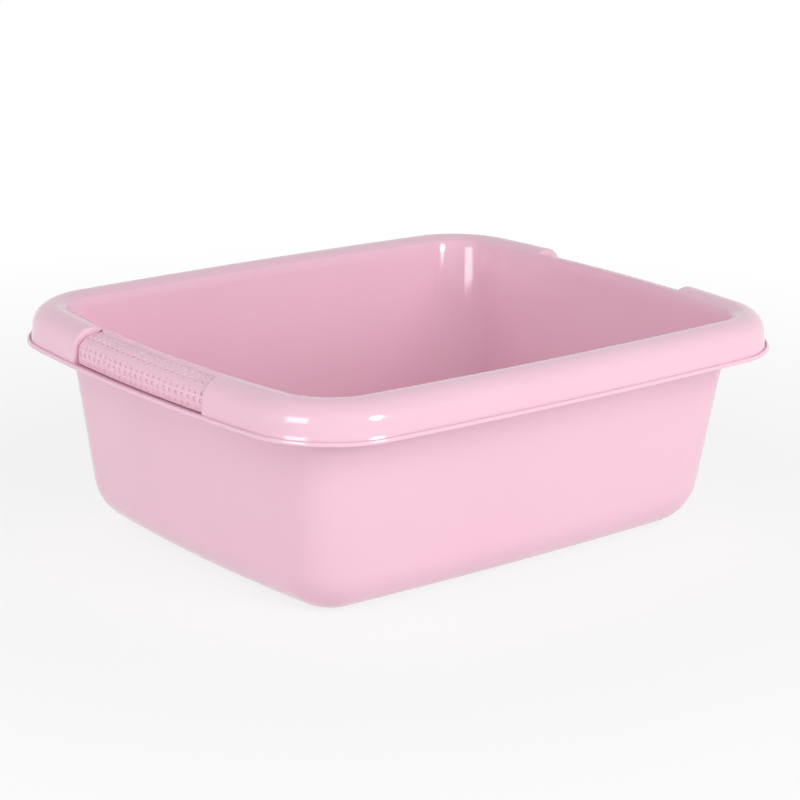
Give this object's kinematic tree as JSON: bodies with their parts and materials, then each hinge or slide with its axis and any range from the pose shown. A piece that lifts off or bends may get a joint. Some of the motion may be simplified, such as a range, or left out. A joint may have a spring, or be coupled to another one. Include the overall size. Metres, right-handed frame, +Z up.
{
  "type": "rectangular basin",
  "caption": "Rectangular washing basin with drafted walls, a hollow rolled rim and a separate textured grip clipped into each short end.",
  "frame": {"origin": "on the ground under the middle of the basin, level with the foot ring that it stands on", "axes": "+Z up, +X along the long sides towards one grip, +Y across the basin"},
  "size_m": [0.38, 0.3104, 0.132],
  "materials": {
    "pink_plastic": "glossy moulded polypropylene, solid pink"
  },
  "bodies": {
    "root": {"basin": "pink_plastic", "grip_left": "pink_plastic", "grip_right": "pink_plastic"}
  },
  "joints": []
}
